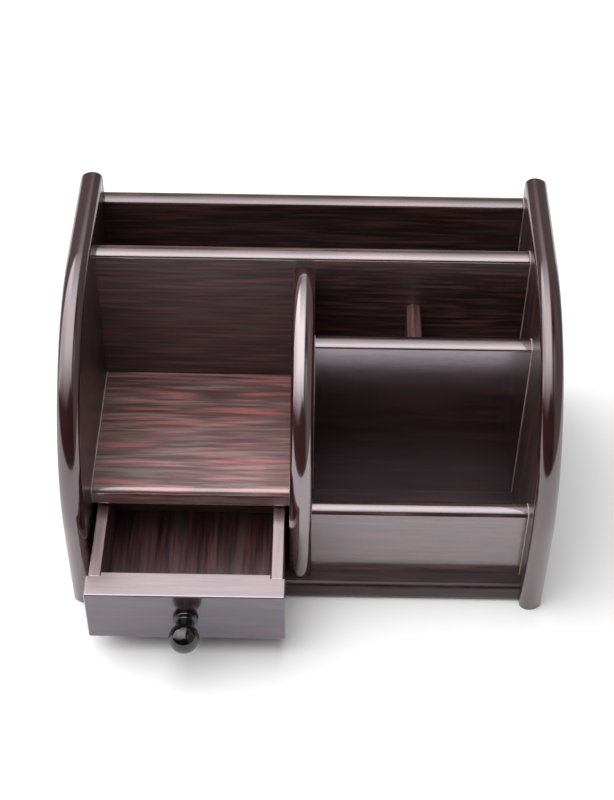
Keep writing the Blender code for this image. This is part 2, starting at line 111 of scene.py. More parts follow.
# Steps of round shapes
CROWN_STEPS = 28
ARRIS_STEPS = 5
CORNER_STEPS = 96
ROUNDING_STEPS = 6
WALL_STEPS = 3
TURN_STEPS = 96
PEG_STEPS = 32

# How far an arris turns to be rounded, how far an edge turns to be shaded as sharp, and how much
# a large face outweighs a small one in the smooth shading
ROUNDED_ANGLE = radians(60)
SHARP_ANGLE = radians(35)
FACE_WEIGHT = 100

# A face over this many squares of its board's rounding isn't part of the rounding
FLAT_SQUARES = 4

# How closely a normal keeps to a side to count as flat on it, and how far up one of a top points
FACE_LIMIT = 0.9999
TOP_LIMIT = 0.7

# How far each board's stretch of the grain lies from the one before it
GRAIN_STEP = Vector((0.37, 0.23, 0.11))

# Rosewood figure: each noise's cells per metre along, across and through the grain, with its
# detail and its roughness
DRIFT = ((7.0, 45.0, 45.0), 2.0, 0.5)
BANDS = ((6.0, 150.0, 150.0), 2.0, 0.6)
STREAKS = ((26.0, 500.0, 420.0), 2.0, 0.55)
LINES = ((50.0, 1900.0, 1500.0), 2.0, 0.6)
PORES = ((240.0, 4200.0, 3600.0), 1.0, 0.5)
PATCHES = ((20.0, 240.0, 200.0), 1.0, 0.5)
SCUFFS = ((90.0, 160.0, 160.0), 3.0, 0.7)
WAVES = ((60.0, 130.0, 130.0), 1.0, 0.5)

# Rosewood figure: the noise values over which each part of it comes in
LINE_RISE = (0.3, 0.7)
GREY_PATCH_RISE = (0.46, 0.36)
GREY_STREAK_RISE = (0.42, 0.55)
STREAK_RISE = (0.90, 1.14)
PINK_RISE = (0.42, 0.56)
PORE_RISE = (0.60, 0.72)
PLAIN_RISE = (0.35, 0.7)
SCUFF_RISE = (0.5, 0.75)

# Rosewood figure: how strong each part of it is
GRAIN_SWAY = 0.006
BAND_SHARE = 0.45
STREAK_SHARE = 0.55
LINE_DARKEST = 0.8
LINE_DEPTH = 0.4
PATCH_PULL = 0.6
STREAK_PULL = 0.3
GREY_STRENGTH = 0.5
PORE_STRENGTH = 0.4
PLAIN_STRENGTH = 0.5
WEAR_STRENGTH = 0.5
PORE_RELIEF = 1.2
RELIEF_DEPTH = 0.0002
WAVE_STRENGTH = 0.08
WAVE_DEPTH = 0.00025
ROUGHNESS_SPREAD = 0.06
WEAR_ROUGHNESS = 0.15

# Rosewood colours
RED_STREAK = (0.22, 0.060, 0.048)
PINK_STREAK = (0.23, 0.105, 0.110)
GREY_STREAK = (0.075, 0.078, 0.066)
PORE_COLOUR = (0.006, 0.004, 0.004)
PLAIN_DARK = (0.048, 0.012, 0.013)
PLAIN_LIGHT = (0.072, 0.018, 0.019)
WORN_COLOUR = (0.16, 0.075, 0.06)
PINK_GLOSS = (1.0, 0.80, 0.90)
BLUE_GLOSS = (0.95, 0.90, 1.0)
ROSE_GLOSS = (1.0, 0.86, 0.95)
VIOLET_GLOSS = (0.86, 0.80, 1.0)
ROSEWOOD_TONES = (
    (0.30, (0.020, 0.011, 0.011)),
    (0.44, (0.044, 0.022, 0.021)),
    (0.56, (0.076, 0.038, 0.036)),
    (0.70, (0.105, 0.066, 0.060)),
)
DRAWER_TONES = (
    (0.34, (0.030, 0.012, 0.013)),
    (0.44, (0.080, 0.030, 0.033)),
    (0.54, (0.150, 0.062, 0.064)),
    (0.64, (0.190, 0.110, 0.105)),
)

# The two woods: their tones and how many streaks they have
ROSEWOOD = (ROSEWOOD_TONES, 0.42)
DRAWER_WOOD = (DRAWER_TONES, 0.48)

# Each finish: its wood, roughness and IOR, its coat's roughness and IOR, its relief and its
# gloss's colour
FINISHES = {
    "rosewood_gloss_edge": (ROSEWOOD, 0.12, 2.25, 0.03, 2.0, 0.1, PINK_GLOSS),
    "rosewood_side_edge": (ROSEWOOD, 0.12, 1.8, 0.04, 1.65, 0.1, PINK_GLOSS),
    "rosewood_panel_edge": (ROSEWOOD, 0.13, 2.05, 0.05, 1.85, 0.1, PINK_GLOSS),
    "rosewood_quiet_edge": (ROSEWOOD, 0.35, 1.4, 0.16, 1.2, 0.1, PINK_GLOSS),
    "rosewood_satin_face": (ROSEWOOD, 0.40, 1.7, 0.34, 1.3, 0.2, PINK_GLOSS),
    "rosewood_side_face": (ROSEWOOD, 0.40, 1.5, 0.34, 1.2, 0.2, PINK_GLOSS),
    "rosewood_pen_face": (ROSEWOOD, 0.20, 2.8, 0.11, 1.75, 0.05, BLUE_GLOSS),
    "rosewood_front_face": (ROSEWOOD, 0.22, 2.2, 0.14, 1.6, 0.05, ROSE_GLOSS),
    "drawer_front_face": (ROSEWOOD, 0.18, 1.95, 0.12, 1.4, 0.05, VIOLET_GLOSS),
    "drawer_satin_edge": (DRAWER_WOOD, 0.30, 2.6, 0.24, 2.1, 0.1, PINK_GLOSS),
    "drawer_satin_face": (DRAWER_WOOD, 0.42, 1.7, 0.36, 1.3, 0.2, PINK_GLOSS),
}

# Each board's finish on its edges and on its flat faces, its lightness, and its share of streaks
LOOKS = {
    "left_side_panel": ("rosewood_side_edge", "rosewood_side_face", 0.55, 0.4),
    "right_side_panel": ("rosewood_side_edge", "rosewood_side_face", 0.55, 0.4),
    "middle_divider": ("rosewood_gloss_edge", "rosewood_satin_face", 0.8, 0.4),
    "base_board": ("rosewood_quiet_edge", "rosewood_satin_face", 0.35, 0.4),
    # The shelf's lightness of 2.8 is partly painted sheen: its colour is raised for the lacquer's
    # soft reflection
    "drawer_shelf": ("rosewood_side_edge", "rosewood_satin_face", 2.8, 0.42),
    "back_panel": ("rosewood_side_edge", "rosewood_satin_face", 0.8, 0.4),
    "letter_panel": ("rosewood_panel_edge", "rosewood_satin_face", 0.9, 0.5),
    "pen_front_panel": ("rosewood_panel_edge", "rosewood_pen_face", 0.5, 0.4),
    "card_front_panel": ("rosewood_panel_edge", "rosewood_front_face", 0.9, 0.35),
    "pen_divider": ("rosewood_gloss_edge", "rosewood_satin_face", 1.8, 0.2),
    "drawer_front": ("drawer_satin_edge", "drawer_front_face", 0.6, 0.3),
    "drawer_inner_front": ("drawer_satin_edge", "drawer_satin_face", 0.8, 0.3),
    "drawer_back": ("drawer_satin_edge", "drawer_satin_face", 0.8, 0.4),
    "drawer_bottom": ("drawer_satin_face", "drawer_satin_face", 0.5, 0.5),
    "drawer_left_side": ("drawer_satin_edge", "drawer_satin_face", 0.9, 0.3),
    "drawer_right_side": ("drawer_satin_edge", "drawer_satin_face", 0.9, 0.3),
}

# Plain finishes: the uneven tone, a finer noise for gloss and relief, and its strength
SPECKLE_DETAIL = (3.0, 0.6)
SPECKLE_FINE_DETAIL = (2.0, 0.5)
SPECKLE_FINENESS = 6
SPECKLE_RISE = (0.35, 0.65)
SPECKLE_SPREAD = 0.12
SPECKLE_DEPTH = 0.00005

# Floor
FLOOR_REACH = 4
FLOOR_GAP = 0.0001
FLOOR_COLOUR = (0.93, 0.93, 0.93)
FLOOR_ROUGHNESS = 0.9

# Studio light: radiances, where white is 1, and shares of the softbox's
KEY_RADIANCE = 3.4
BACK_RADIANCE = 0.22
RIGHT_RADIANCE = 0.26
FRONT_RADIANCE = 0.03
KEY_BACK_SHARE = 0.3
KEY_LEFT_SHARE = 0.6
STRIP_SHARE = 0.25

# Studio light: where each part comes in or ends, as the sideways part x of a direction
KEY_LEFT_X = (-0.95, -0.55)
KEY_FLAT_X = (-0.5, -0.3)
KEY_RIGHT_X = (0.12, 0.34)
STRIP_LEFT_X = (0.34, 0.46)
STRIP_RIGHT_X = (0.5, 0.7)
RIGHT_X = (0.5, 0.7)
NOTCH_X = 0.05

# Studio light: the same, as a direction's turn round the x axis in degrees, 0 at the back horizon
# and 90 overhead; the softbox ends sooner near the notch's middle
KEY_BACK_TURN = (37, 44)
KEY_SLOPE_START = 45.0
KEY_SLOPE_LENGTH = 35.0
KEY_FADE_TURN = (100, 150)
KEY_END_TURN = (124, 132)
NOTCH_SLOPE = 35.0
STRIP_TURN = (88, 110)
RIGHT_TURN = (50, 80)
FRONT_TURN = (60, 90)

# Camera, from the fit to the photo
CAMERA_PLACE = (0.00252, -0.60604, 0.70528)
CAMERA_PITCH = radians(46.274)
CAMERA_YAW = radians(-0.410)
CAMERA_ROLL = radians(0.579)
CAMERA_LENS = 73.69
CAMERA_CLIP = 0.01

# Directions, and for each kind of board those along, across and through its grain
ALONG_X = Vector((1, 0, 0))
ALONG_Y = Vector((0, 1, 0))
ALONG_Z = Vector((0, 0, 1))
SIDE_GRAIN = (ALONG_Z, ALONG_Y, ALONG_X)
LYING_GRAIN = (ALONG_X, ALONG_Y, ALONG_Z)
PANEL_GRAIN = (ALONG_X, ALONG_Z, ALONG_Y)
WALL_GRAIN = (ALONG_Y, ALONG_Z, ALONG_X)
BOTTOM_GRAIN = (ALONG_Y, ALONG_X, ALONG_Z)


# Materials
class Graph:
    """A material's or world's node tree, with short ways to add and join nodes."""

    def __init__(self, owner):
        owner.use_nodes = True
        self.tree = owner.node_tree
        self.tree.nodes.clear()

    def add(self, kind, **inputs):
        """A node of this kind, with these inputs set or joined."""
        node = self.tree.nodes.new("ShaderNode" + kind)
        for name, value in inputs.items():
            self.feed(node.inputs[name.replace("_", " ")], value)
        return node

    def feed(self, socket, value):
        """Joins another node's output to an input, or sets the input."""
        if isinstance(value, bpy.types.NodeSocket):
            self.tree.links.new(value, socket)
        elif socket.type == "RGBA":
            socket.default_value = (*value, 1)
        else:
            socket.default_value = value

    def math(self, operation, *values, clamp=False):
        node = self.tree.nodes.new("ShaderNodeMath")
        node.operation = operation
        node.use_clamp = clamp
        for socket, value in zip(node.inputs, values):
            self.feed(socket, value)
        return node.outputs[0]

    def vector(self, operation, *values):
        node = self.tree.nodes.new("ShaderNodeVectorMath")
        node.operation = operation
        for socket, value in zip(node.inputs, values):
            self.feed(socket, value)
        return node.outputs[0]

    def ramp(self, value, low, high):
        """A smooth rise from 0 to 1 as the value goes from low to high."""
        node = self.tree.nodes.new("ShaderNodeMapRange")
        node.interpolation_type = "SMOOTHSTEP"
        self.feed(node.inputs["Value"], value)
        node.inputs["From Min"].default_value = low
        node.inputs["From Max"].default_value = high
        return node.outputs["Result"]

    def fall(self, value, full, none):
        """1 up to full, and a smooth fall to 0 at none."""
        return self.math("SUBTRACT", 1.0, self.ramp(value, full, none))

    def mix(self, factor, first, second, blend="MIX"):
        node = self.tree.nodes.new("ShaderNodeMix")
        node.data_type = "RGBA"
        node.blend_type = blend
        self.feed(node.inputs["Factor"], factor)
        self.feed(node.inputs[6], first)
        self.feed(node.inputs[7], second)
        return node.outputs[2]

    def scaled(self, colour, value):
        """The colour times the value."""
        grey = self.add("CombineColor", Red=value, Green=value, Blue=value)
        return self.mix(1.0, colour, grey.outputs[0], "MULTIPLY")

    def colours(self, value, *stops):
        """A colour ramp through (position, colour) stops."""
        node = self.tree.nodes.new("ShaderNodeValToRGB")
        elements = node.color_ramp.elements
        while len(elements) < len(stops):
            elements.new(0.5)
        for element, (position, colour) in zip(elements, stops):
            element.position = position
            element.color = (*colour, 1)
        self.feed(node.inputs["Fac"], value)
        return node.outputs["Color"]

    def noise(self, place, cells, detail, roughness):
        """A noise with so many cells per metre along each axis."""
        place = self.vector("MULTIPLY", place, cells)
        node = self.add("TexNoise", Vector=place, Scale=1.0, Detail=detail, Roughness=roughness)
        return node.outputs["Fac"]

    def attribute(self, name, output):
        node = self.tree.nodes.new("ShaderNodeAttribute")
        node.attribute_name = name
        return node.outputs[output]

    def bump(self, height, strength, distance):
        node = self.add("Bump", Height=height, Strength=strength, Distance=distance)
        return node.outputs["Normal"]

    def show(self, shader, kind="OutputMaterial"):
        """Makes the shader what the material or the world shows."""
        output = self.add(kind)
        self.tree.links.new(shader.outputs[0], output.inputs["Surface"])


def wood(name, kind, roughness, ior, coat_roughness, coat_ior, relief_strength, gloss):
    """Dark rosewood: fine dark lines, bands, and red and pink streaks, all drawn out along the grain.

    The mesh attribute grain gives each point's place along, across and through the grain, in
    metres. The attribute banded is 1 where an edge has a plain band and no figure, and worn is 1
    on an arris. The attributes tone and figure are one board's lightness and its share of streaks.
    """
    tones, streak_count = kind
    material = bpy.data.materials.new(name)
    graph = Graph(material)
    place = graph.attribute("grain", "Vector")
    drift = graph.noise(place, *DRIFT)
    sway = graph.math("MULTIPLY", graph.math("SUBTRACT", drift, 0.5), GRAIN_SWAY)
    shift = graph.add("CombineXYZ", Y=sway)
    place = graph.vector("ADD", place, shift.outputs[0])
    bands = graph.noise(place, *BANDS)
    streaks = graph.noise(place, *STREAKS)
    lines = graph.noise(place, *LINES)
    pores = graph.noise(place, *PORES)
    patches = graph.noise(place, *PATCHES)
    scuffs = graph.noise(place, *SCUFFS)
    waves = graph.noise(place, *WAVES)

    mixed = graph.math("MULTIPLY", streaks, STREAK_SHARE)
    mixed = graph.math("MULTIPLY_ADD", bands, BAND_SHARE, mixed)
    ground = graph.colours(mixed, *tones)
    line_shade = graph.math("MULTIPLY_ADD", graph.ramp(lines, *LINE_RISE), LINE_DEPTH, LINE_DARKEST)
    ground = graph.scaled(ground, line_shade)
    grey_patches = graph.ramp(patches, *GREY_PATCH_RISE)
    grey_mask = graph.math("MULTIPLY", grey_patches, graph.ramp(streaks, *GREY_STREAK_RISE))
    ground = graph.mix(graph.math("MULTIPLY", grey_mask, GREY_STRENGTH), ground, GREY_STREAK)

    start, full = STREAK_RISE
    pull = STREAK_PULL * streak_count
    mask = graph.math("MULTIPLY_ADD", patches, PATCH_PULL, streaks)
    mask = graph.ramp(mask, start - pull, full - pull)
    mask = graph.math("MULTIPLY", mask, graph.attribute("figure", "Fac"), clamp=True)
    streak_colour = graph.mix(graph.ramp(bands, *PINK_RISE), RED_STREAK, PINK_STREAK)
    figured = graph.mix(mask, ground, streak_colour)
    pore_mask = graph.math("MULTIPLY", graph.ramp(pores, *PORE_RISE), PORE_STRENGTH)
    figured = graph.mix(pore_mask, figured, PORE_COLOUR)

    plain_mask = graph.math("MULTIPLY", graph.ramp(bands, *PLAIN_RISE), PLAIN_STRENGTH)
    plain = graph.mix(plain_mask, PLAIN_DARK, PLAIN_LIGHT)
    colour = graph.mix(graph.attribute("banded", "Fac"), figured, plain)
    wear = graph.math("MULTIPLY", graph.attribute("worn", "Fac"), graph.ramp(scuffs, *SCUFF_RISE))
    colour = graph.mix(graph.math("MULTIPLY", wear, WEAR_STRENGTH), colour, WORN_COLOUR)
    colour = graph.scaled(colour, graph.attribute("tone", "Fac"))

    relief = graph.math("SUBTRACT", lines, graph.math("MULTIPLY", pore_mask, PORE_RELIEF))
    lowest = roughness - ROUGHNESS_SPREAD / 2
    uneven = graph.math("MULTIPLY_ADD", lines, ROUGHNESS_SPREAD, lowest)
    uneven = graph.math("MULTIPLY_ADD", wear, WEAR_ROUGHNESS, uneven)
    shader = graph.add(
        "BsdfPrincipled",
        Base_Color=colour,
        Roughness=uneven,
        IOR=ior,
        Specular_Tint=gloss,
        Normal=graph.bump(relief, relief_strength, RELIEF_DEPTH),
        Coat_Weight=1.0,
        Coat_Roughness=coat_roughness,
        Coat_IOR=coat_ior,
        Coat_Normal=graph.bump(waves, WAVE_STRENGTH, WAVE_DEPTH),
    )
    graph.show(shader)
    return material


def speckled(name, colour, other, cells, roughness, metallic, relief_strength, **sockets):
    """A plain finish with a slight uneven tone, uneven gloss and a slight relief."""
    material = bpy.data.materials.new(name)
    graph = Graph(material)
    place = graph.add("TexCoord").outputs["Object"]
    fine_cells = tuple(SPECKLE_FINENESS * number for number in cells)
    tone = graph.noise(place, cells, *SPECKLE_DETAIL)
    fine = graph.noise(place, fine_cells, *SPECKLE_FINE_DETAIL)
    lowest = roughness - SPECKLE_SPREAD / 2
    shader = graph.add(
        "BsdfPrincipled",
        Base_Color=graph.mix(graph.ramp(tone, *SPECKLE_RISE), colour, other),
        Roughness=graph.math("MULTIPLY_ADD", fine, SPECKLE_SPREAD, lowest),
        Metallic=metallic,
        Normal=graph.bump(fine, relief_strength, SPECKLE_DEPTH),
        **sockets,
    )
    graph.show(shader)
    return material


WOODS = {name: wood(name, *finish) for name, finish in FINISHES.items()}
PLAIN_MATERIALS = {
    "knob_black": speckled("knob_black", (0.003, 0.002, 0.002), (0.006, 0.004, 0.004),
                           (160.0, 160.0, 160.0), 0.06, 0.0, 0.02, IOR=1.65),
    "insert_brass": speckled("insert_brass", (0.78, 0.57, 0.24), (0.70, 0.48, 0.19),
                             (900.0, 60.0, 900.0), 0.28, 1.0, 0.2),
    "screw_steel": speckled("screw_steel", (0.56, 0.56, 0.58), (0.47, 0.47, 0.50),
                            (700.0, 90.0, 700.0), 0.30, 1.0, 0.2),
    "dowel_beech": speckled("dowel_beech", (0.62, 0.44, 0.27), (0.54, 0.36, 0.21),
                            (60.0, 500.0, 500.0), 0.62, 0.0, 0.4),
}
# Pale seam filler, its colour partly a painted highlight for light caught by fillets in the joints
FILLER_AND_HIGHLIGHT = speckled("joint_filler_and_highlight", (0.62, 0.50, 0.46), (0.40, 0.30, 0.27),
                  (90.0, 90.0, 90.0), 0.40, 0.0, 0.2)
SLOTS = {part["node"]: part["material_slot"] for part in frame["record"]["subparts"]}


# Sections
def arc(centre, radius, start, end, steps):
    """Points on an arc, from one angle to another, both ends included."""
    angles = [start + (end - start) * step / steps for step in range(steps + 1)]
    return [(centre[0] + radius * cos(angle), centre[1] + radius * sin(angle)) for angle in angles]


def crown(thickness, depth):
    """(across, drop, wear) points over an edge, from its low to its high face.

    The CAD's shallow arc runs into a small arris rounding on each side, with no break.
    """
    half = thickness / 2
    radius = (half**2 + depth**2) / (2 * depth)
    reach = asin((half - CROWN_ARRIS) / (radius - CROWN_ARRIS))
    points = []
    for step in range(-CROWN_STEPS // 2, CROWN_STEPS // 2 + 1):
        angle = reach * step / (CROWN_STEPS / 2)
        points.append((radius * sin(angle), radius * (1 - cos(angle)), 0.0))
    side = (half - CROWN_ARRIS, radius - (radius - CROWN_ARRIS) * cos(reach))
    for step in range(1, ARRIS_STEPS + 1):
        angle = reach + (pi / 2 - reach) * step / ARRIS_STEPS
        across = side[0] + CROWN_ARRIS * sin(angle)
        drop = side[1] - CROWN_ARRIS * cos(angle)
        worn = 1.0 if step < ARRIS_STEPS else 0.0
        points.append((across, drop, worn))
        points.insert(0, (-across, drop, worn))
    return points


def leaning_crown(thickness, depth, lean):
    """A crown whose highest line lies off its middle, towards the low face where lean is over 0."""
    points = []
    for across, drop, worn in crown(thickness, depth):
        share = across / (thickness / 2)
        points.append((across - lean * (1 - share**2), drop, worn))
    return points


def full_crown(thickness, depth):
    """(across, drop, wear) points over a panel's top: flat in the middle and full at its arrises."""
    points = []
    for step in range(-CROWN_STEPS, CROWN_STEPS + 1):
        angle = pi / 2 * step / CROWN_STEPS
        across = abs(sin(angle)) ** (2 / PANEL_FULLNESS) * thickness / 2
        drop = depth * (1 - cos(angle) ** (2 / PANEL_FULLNESS))
        worn = 1.0 if CROWN_STEPS - ARRIS_STEPS < abs(step) < CROWN_STEPS else 0.0
        points.append((across if step > 0 else -across, drop, worn))
    return points


# Meshes
def new_mesh():
    """An empty bmesh and its two layers: how worn a point is, and 1 on an edge's plain band."""
    bm = bmesh.new()
    return bm, bm.verts.layers.float.new("worn"), bm.verts.layers.float.new("banded")


def loft(rings, worn):
    """A closed mesh through rings of points, with the arris wear of each ring."""
    bm, worn_layer, banded_layer = new_mesh()
    made = []
    for ring, wear in zip(rings, worn):
        verts = [bm.verts.new(point) for point in ring]
        for vert in verts:
            vert[worn_layer] = wear
        made.append(verts)
    for verts in made[1:-1]:
        for vert in verts:
            vert[banded_layer] = 1.0
    for ring, beside in zip(made, made[1:]):
        for index in range(len(ring)):
            after = (index + 1) % len(ring)
            bm.faces.new((ring[index], ring[after], beside[after], beside[index]))
    bm.faces.new(made[0])
    bm.faces.new(made[-1])
    bmesh.ops.recalc_face_normals(bm, faces=bm.faces)
    return bm


def curved_board(low, high, radius, crown_depth, lean=0.0):
    """An upright board with one large rounded corner, crowned along its front and its top."""
    middle = (low.x + high.x) / 2
    depth = high.y - low.y
    height = high.z - low.z
    rings = []
    worn = []
    for across, drop, wear in leaning_crown(high.x - low.x, crown_depth, lean):
        corner = arc((radius, height - radius), radius - drop, pi, pi / 2, CORNER_STEPS)
        outline = [(depth, 0), (drop, 0), *corner, (depth, height - drop)]
        rings.append([(middle + across, low.y + y, low.z + z) for y, z in outline])
        worn.append(wear)
    return loft(rings, worn)


def extruded(outline, start, end, place):
    """A section drawn out from start to end; place turns (across, up, along) into a point.

    Each point of the outline is (across, up, wear).
    """
    bm, worn_layer, _ = new_mesh()
    ends = []
    for along in (start, end):
        ring = []
        for across, up, wear in outline:
            vert = bm.verts.new(place(across, up, along))
            vert[worn_layer] = wear
            ring.append(vert)
        ends.append(ring)
    for index in range(len(outline)):
        after = (index + 1) % len(outline)
        bm.faces.new((ends[0][index], ends[0][after], ends[1][after], ends[1][index]))
    bm.faces.new(ends[0])
    bm.faces.new(ends[1])
    bmesh.ops.recalc_face_normals(bm, faces=bm.faces)
    return bm


def upright_panel(low, high, top_shape, crown_depth, along="x"):
    """A straight panel with a crowned top, its length along x or y."""
    first, second = (low.y, high.y) if along == "x" else (low.x, high.x)
    middle = (first + second) / 2
    top = [(middle + across, high.z - drop, wear)
           for across, drop, wear in top_shape(second - first, crown_depth)]
    outline = [(first, low.z, 0.0), (second, low.z, 0.0)] + top[::-1]
    if along == "x":
        return extruded(outline, low.x, high.x, lambda across, up, x: (x, across, up))
    return extruded(outline, low.y, high.y, lambda across, up, y: (across, y, up))


def lying_board(low, high):
    """A lying board, with its two front edges rounded."""
    r = BOARD_ROUNDING
    lower = arc((low.y + r, low.z + r), r, -pi / 2, -pi, ROUNDING_STEPS)
    upper = arc((low.y + r, high.z - r), r, pi, pi / 2, ROUNDING_STEPS)
    worn = [1.0 if 0 < step < ROUNDING_STEPS else 0.0 for step in range(ROUNDING_STEPS + 1)]
    outline = [(y, z, wear) for (y, z), wear in zip(lower + upper, worn + worn)]
    outline += [(high.y, high.z, 0.0), (high.y, low.z, 0.0)]
    return extruded(outline, low.x, high.x, lambda across, up, x: (x, across, up))


def soften(bm, width, segments, glued_y=None):
    """Rounds every sharp arris, but for those in a glued joint's plane, and marks them as worn."""
    worn_layer = bm.verts.layers.float["worn"]
    edges = []
    for edge in bm.edges:
        glued = glued_y is not None and all(abs(v.co.y - glued_y) < GLUED_REACH for v in edge.verts)
        if edge.calc_face_angle(0) > ROUNDED_ANGLE and not glued:
            edges.append(edge)
    made = bmesh.ops.bevel(bm, geom=edges, offset=width, offset_type="OFFSET", segments=segments,
                           profile=0.5, affect="EDGES", clamp_overlap=True)
    flat_area = FLAT_SQUARES * width * width
    flat = {vert for face in bm.faces if face.calc_area() > flat_area for vert in face.verts}
    for vert in made["verts"]:
        vert[worn_layer] = 0.0 if vert in flat else 1.0
    return bm


def box(low, high, width, glued_y=None):
    """A board with its arrises rounded, but for those in a glued joint's plane."""
    bm, _, _ = new_mesh()
    bmesh.ops.create_cube(bm, size=1)
    bmesh.ops.scale(bm, vec=high - low, verts=bm.verts)
    bmesh.ops.translate(bm, vec=(low + high) / 2, verts=bm.verts)
    return soften(bm, width, ROUNDING_STEPS, glued_y)


def drawer_wall(low, high, inner_side):
    """A side wall of the drawer, with the groove for the bottom; inner_side is -1 or 1 along x."""
    inner = high.x if inner_side > 0 else low.x
    outer = low.x if inner_side > 0 else high.x
    deep = inner - inner_side * GROOVE_DEPTH
    outline = [
        (outer, low.z), (inner, low.z), (inner, low.z + GROOVE_LOW), (deep, low.z + GROOVE_LOW),
        (deep, low.z + GROOVE_HIGH), (inner, low.z + GROOVE_HIGH), (inner, high.z),
        (outer, high.z),
    ]
    bm = extruded([(x, z, 0.0) for x, z in outline], low.y, high.y, lambda x, z, y: (x, y, z))
    return soften(bm, BOX_ROUNDING, WALL_STEPS)


def knob_profile():
    """Bore, flange with a rounded rim, coved neck and ball, as (radius, distance forward)."""
    rim = (FLANGE_RADIUS - FLANGE_ROUNDING, FLANGE_THICKNESS - FLANGE_ROUNDING)
    flange = arc(rim, FLANGE_ROUNDING, 0, pi / 2, 2 * ROUNDING_STEPS)
    cove_centre = (NECK_RADIUS + COVE_RADIUS, FLANGE_THICKNESS + COVE_RADIUS)
    cove = arc(cove_centre, COVE_RADIUS, -pi / 2, -pi, ROUNDING_STEPS)
    start = -asin((BALL_RADIUS**2 - NECK_RADIUS**2) ** 0.5 / BALL_RADIUS)
    ball = arc((0, BALL_STANDOFF), BALL_RADIUS, start, pi / 2, 4 * ROUNDING_STEPS)
    ball[-1] = (0, BALL_STANDOFF + BALL_RADIUS)
    bore = [(0, BORE_DEPTH), (BORE_RADIUS, BORE_DEPTH), (BORE_RADIUS, 0), (FLANGE_RADIUS, 0)]
    return bore + flange + cove + ball


def turned(profile, centre_x, centre_z, face_y):
    """A piece turned round the y axis; each profile point is (radius, distance forward)."""
    bm = bmesh.new()
    rings = []
    for radius, forward in profile:
        if radius == 0:
            rings.append([bm.verts.new((centre_x, face_y - forward, centre_z))])
            continue
        ring = []
        for step in range(TURN_STEPS):
            angle = 2 * pi * step / TURN_STEPS
            x = centre_x + radius * cos(angle)
            ring.append(bm.verts.new((x, face_y - forward, centre_z + radius * sin(angle))))
        rings.append(ring)
    for ring, beside in zip(rings, rings[1:]):
        for step in range(TURN_STEPS):
            after = (step + 1) % TURN_STEPS
            if len(ring) == 1:
                bm.faces.new((ring[0], beside[after], beside[step]))
            elif len(beside) == 1:
                bm.faces.new((ring[step], ring[after], beside[0]))
            else:
                bm.faces.new((ring[step], ring[after], beside[after], beside[step]))
    bmesh.ops.recalc_face_normals(bm, faces=bm.faces)
    return bm


# Holes and joints
def peg(low, high, axis):
    """A round peg that fills a box, its length along the axis."""
    bm = bmesh.new()
    size = high - low
    radius = min(size) / 2
    turn = ALONG_Z.rotation_difference(axis).to_matrix().to_4x4()
    bmesh.ops.create_cone(bm, cap_ends=True, segments=PEG_STEPS, radius1=radius, radius2=radius,
                          depth=max(size), matrix=Matrix.Translation((low + high) / 2) @ turn)
    mesh = bpy.data.meshes.new("peg")
    bm.to_mesh(mesh)
    bm.free()
    return mesh


def drill(obj, cutter):
    """Cuts a closed mesh out of an object and keeps the result as the object's own mesh."""
    cutter_object = bpy.data.objects.new("cutter", cutter)
    bpy.context.scene.collection.objects.link(cutter_object)
    hole = obj.modifiers.new("hole", "BOOLEAN")
    hole.operation = "DIFFERENCE"
    hole.solver = "EXACT"
    hole.object = cutter_object
    depsgraph = bpy.context.evaluated_depsgraph_get()
    result = bpy.data.meshes.new_from_object(obj.evaluated_get(depsgraph))
    obj.modifiers.clear()
    obj.data = result
    bpy.data.objects.remove(cutter_object)


def dowel_holes(*joints):
    """Cutters for the holes of the dowels of these joints, a little wider than the dowels."""
    cutters = []
    extra = Vector((DOWEL_HOLE_EXTRA,) * 3)
    for joint in joints:
        for number in (1, 2):
            low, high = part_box(f"{joint}_dowel_{number}")
            size = high - low
            axis = ALONG_Z if size.z > size.x else ALONG_X
            cutters.append(peg(low - extra, high + extra, axis))
    return cutters


def joined_box(node, *sides):
    """A node's box, run on over the joint gap towards each of these sides."""
    low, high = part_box(node)
    for side in sides:
        for axis, part in enumerate(side):
            if part > 0:
                high[axis] += JOINT_REACH
            if part < 0:
                low[axis] -= JOINT_REACH
    return low, high


# Pieces
def piece_from(name, bm):
    """An object in the scene with this bmesh's shape."""
    mesh = bpy.data.meshes.new(name)
    bm.to_mesh(mesh)
    bm.free()
    obj = bpy.data.objects.new(name, mesh)
    bpy.context.scene.collection.objects.link(obj)
    return obj


def dress(obj, *materials):
    """Shades an object smooth but for its sharp edges, and gives it its materials."""
    obj.data.shade_smooth()
    obj.data.set_sharp_from_angle(angle=SHARP_ANGLE)
    obj.data.materials.clear()
    for material in materials:
        obj.data.materials.append(material)


def finish_piece(obj, node, body, *materials):
    """Dresses a piece and stands it for its node."""
    dress(obj, *materials)
    even = obj.modifiers.new("even_shading", "WEIGHTED_NORMAL")
    even.keep_sharp = True
    even.weight = FACE_WEIGHT
    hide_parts(node)
    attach(obj, body)


def mark_grain(mesh, grain, offset):
    """Writes each point's place along, across and through the grain."""
    attribute = mesh.attributes.new("grain", "FLOAT_VECTOR", "POINT")
    for index, vert in enumerate(mesh.vertices):
        attribute.data[index].vector = Vector([vert.co.dot(axis) for axis in grain]) + offset


def mark_look(mesh, **values):
    """Writes values that are the same all over a board."""
    for name, value in values.items():
        attribute = mesh.attributes.new(name, "FLOAT", "POINT")
        for item in attribute.data:
            item.value = value


def flat_on(*sides):
    """A test of whether a normal points along one of these sides."""
    return lambda normal: any(abs(normal.dot(side)) > FACE_LIMIT for side in sides)


def below_top(normal):
    """Whether a normal isn't one of a board's top."""
    return normal.z < TOP_LIMIT


board_numbers = count(1)


